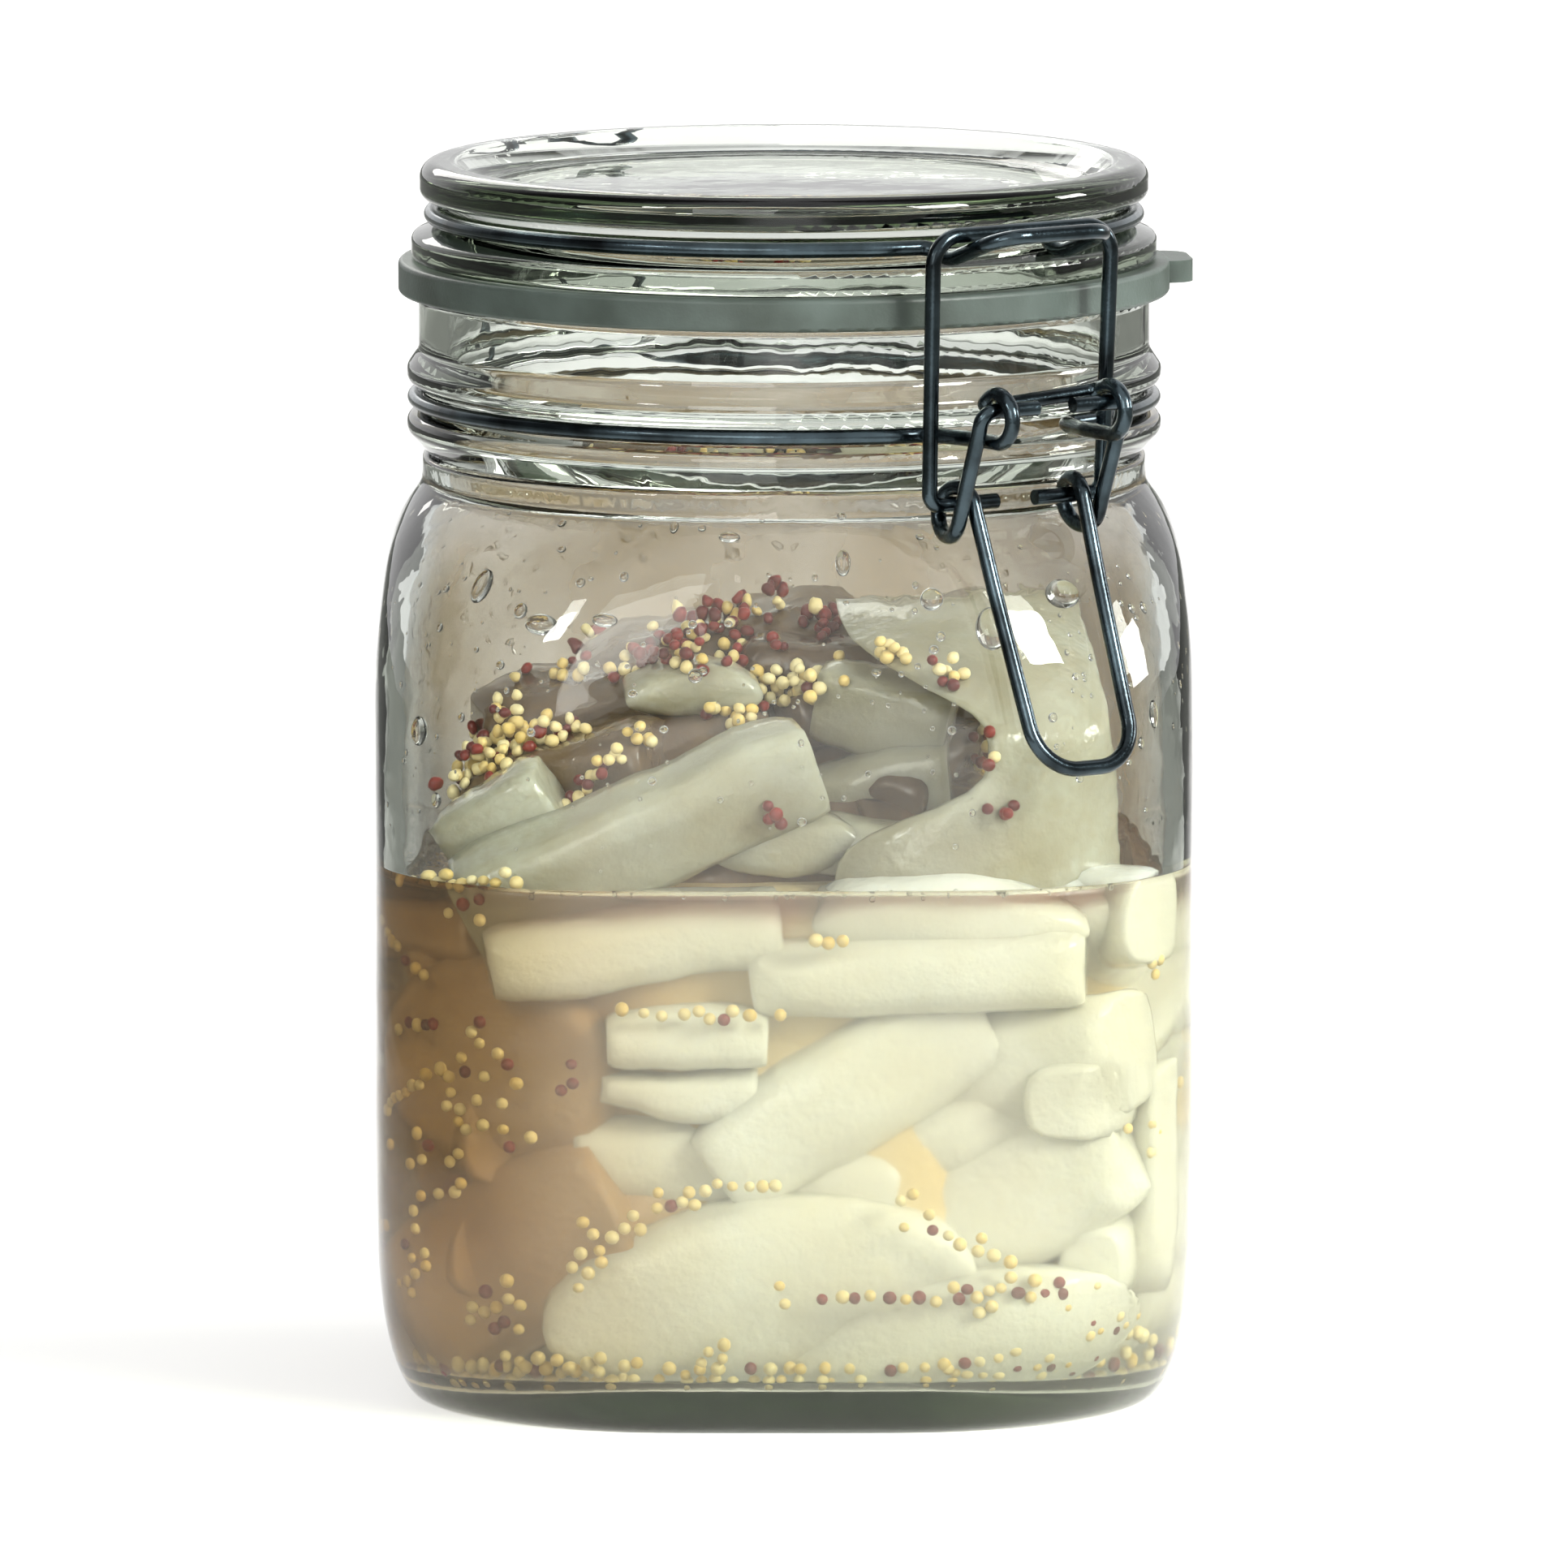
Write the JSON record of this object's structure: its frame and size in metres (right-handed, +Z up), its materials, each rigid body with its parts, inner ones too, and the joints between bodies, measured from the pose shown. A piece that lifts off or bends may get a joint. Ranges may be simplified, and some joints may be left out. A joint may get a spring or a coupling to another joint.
{
  "type": "clip-top jar",
  "caption": "Square clear glass preserving jar with a wire clip closure, hinged glass lid and rubber ring, holding pale pickled slices and mustard seeds in brine.",
  "frame": {"origin": "middle of the base, where the jar stands", "axes": "+Z up; -Y towards the front face of the square body; the clip is turned 35.5 degrees from -Y towards +X, and the hinge is opposite it"},
  "size_m": [0.1083, 0.1178, 0.1621],
  "materials": {
    "glass": "clear pressed soda glass",
    "wire": "bright drawn steel wire",
    "rubber": "translucent white silicone rubber",
    "brine": "clear pale yellow liquid",
    "pickle": "wet translucent vegetable"
  },
  "bodies": {
    "jar": {"jar_glass": "glass", "neck_wire": "wire", "brine": "brine", "pickle_heap": "pickle"},
    "lid": {"lid_glass": "glass", "rubber_ring": "rubber", "lid_wire": "wire"},
    "lever": {"lever_wire": "wire"},
    "bail": {"bail_wire": "wire"}
  },
  "joints": [
    {"name": "lid_hinge", "type": "hinge", "parent": "jar", "child": "lid", "pos_m": [-0.03461, 0.04852, 0.1393], "axis": [-0.8141, -0.5807, 0], "range_deg": [0, 105]},
    {"name": "lever_pivot", "type": "hinge", "parent": "jar", "child": "lever", "pos_m": [0.03507, -0.04917, 0.13505], "axis": [-0.8141, -0.5807, 0], "range_deg": [0, 115.1]},
    {"name": "bail_pivot", "type": "hinge", "parent": "lever", "child": "bail", "pos_m": [0.03008, -0.04217, 0.12215], "axis": [-0.8141, -0.5807, 0], "range_deg": [-138.1, 0]}
  ],
  "couplings": [
    {"joint": "lever_pivot", "follows": "lid_hinge", "ratio": 1.0952},
    {"joint": "bail_pivot", "follows": "lid_hinge", "ratio": -1.3143}
  ]
}
